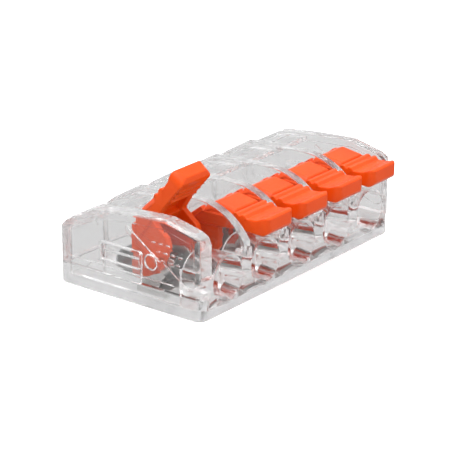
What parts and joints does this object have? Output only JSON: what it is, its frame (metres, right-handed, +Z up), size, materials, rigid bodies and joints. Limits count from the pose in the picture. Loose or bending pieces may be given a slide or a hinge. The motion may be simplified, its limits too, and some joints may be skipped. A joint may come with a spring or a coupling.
{
  "type": "lever wire connector",
  "caption": "Compact splicing connector: a clear housing with a row of orange levers, each working a clamp spring that holds one conductor against a shared busbar.",
  "frame": {"origin": "on the underside, below the middle of the connector's bounding box", "axes": "+X along the row of poles, -Y out of the wire entries, +Z up from the base to the levers"},
  "size_m": [0.0298, 0.019, 0.0131],
  "materials": {
    "clear_housing": "clear moulded polycarbonate, glossy",
    "clear_base": "clear moulded polycarbonate, glossy",
    "tinned_copper": "tinned copper, satin",
    "orange_lever": "moulded plastic, satin",
    "spring_steel": "rolled spring steel strip, satin"
  },
  "bodies": {
    "body": {"housing": "clear_housing", "base": "clear_base", "busbar": "tinned_copper", "spring_1": "spring_steel", "spring_2": "spring_steel", "spring_3": "spring_steel", "spring_4": "spring_steel", "spring_5": "spring_steel"},
    "lever_1_body": {"lever_1": "orange_lever"},
    "clamp_1_body": {"clamp_1": "spring_steel"},
    "lever_2_body": {"lever_2": "orange_lever"},
    "clamp_2_body": {"clamp_2": "spring_steel"},
    "lever_3_body": {"lever_3": "orange_lever"},
    "clamp_3_body": {"clamp_3": "spring_steel"},
    "lever_4_body": {"lever_4": "orange_lever"},
    "clamp_4_body": {"clamp_4": "spring_steel"},
    "lever_5_body": {"lever_5": "orange_lever"},
    "clamp_5_body": {"clamp_5": "spring_steel"}
  },
  "joints": [
    {"name": "lever_1_turn", "type": "hinge", "parent": "body", "child": "lever_1_body", "pos_m": [-0.0112, -0.0014, 0.0042], "axis": [-1, 0, 0], "range_deg": [-52, 0]},
    {"name": "clamp_1_swing", "type": "hinge", "parent": "body", "child": "clamp_1_body", "pos_m": [-0.0112, 0.0026, 0.00285], "axis": [-1, 0, 0], "range_deg": [-26, 0]},
    {"name": "lever_2_turn", "type": "hinge", "parent": "body", "child": "lever_2_body", "pos_m": [-0.0056, -0.0014, 0.0042], "axis": [-1, 0, 0], "range_deg": [0, 52]},
    {"name": "clamp_2_swing", "type": "hinge", "parent": "body", "child": "clamp_2_body", "pos_m": [-0.0056, 0.0026, 0.00285], "axis": [-1, 0, 0], "range_deg": [0, 26]},
    {"name": "lever_3_turn", "type": "hinge", "parent": "body", "child": "lever_3_body", "pos_m": [0, -0.0014, 0.0042], "axis": [-1, 0, 0], "range_deg": [0, 52]},
    {"name": "clamp_3_swing", "type": "hinge", "parent": "body", "child": "clamp_3_body", "pos_m": [0, 0.0026, 0.00285], "axis": [-1, 0, 0], "range_deg": [0, 26]},
    {"name": "lever_4_turn", "type": "hinge", "parent": "body", "child": "lever_4_body", "pos_m": [0.0056, -0.0014, 0.0042], "axis": [-1, 0, 0], "range_deg": [0, 52]},
    {"name": "clamp_4_swing", "type": "hinge", "parent": "body", "child": "clamp_4_body", "pos_m": [0.0056, 0.0026, 0.00285], "axis": [-1, 0, 0], "range_deg": [0, 26]},
    {"name": "lever_5_turn", "type": "hinge", "parent": "body", "child": "lever_5_body", "pos_m": [0.0112, -0.0014, 0.0042], "axis": [-1, 0, 0], "range_deg": [0, 52]},
    {"name": "clamp_5_swing", "type": "hinge", "parent": "body", "child": "clamp_5_body", "pos_m": [0.0112, 0.0026, 0.00285], "axis": [-1, 0, 0], "range_deg": [0, 26]}
  ],
  "couplings": [
    {"joint": "clamp_1_swing", "follows": "lever_1_turn", "ratio": 0.5},
    {"joint": "clamp_2_swing", "follows": "lever_2_turn", "ratio": 0.5},
    {"joint": "clamp_3_swing", "follows": "lever_3_turn", "ratio": 0.5},
    {"joint": "clamp_4_swing", "follows": "lever_4_turn", "ratio": 0.5},
    {"joint": "clamp_5_swing", "follows": "lever_5_turn", "ratio": 0.5}
  ]
}
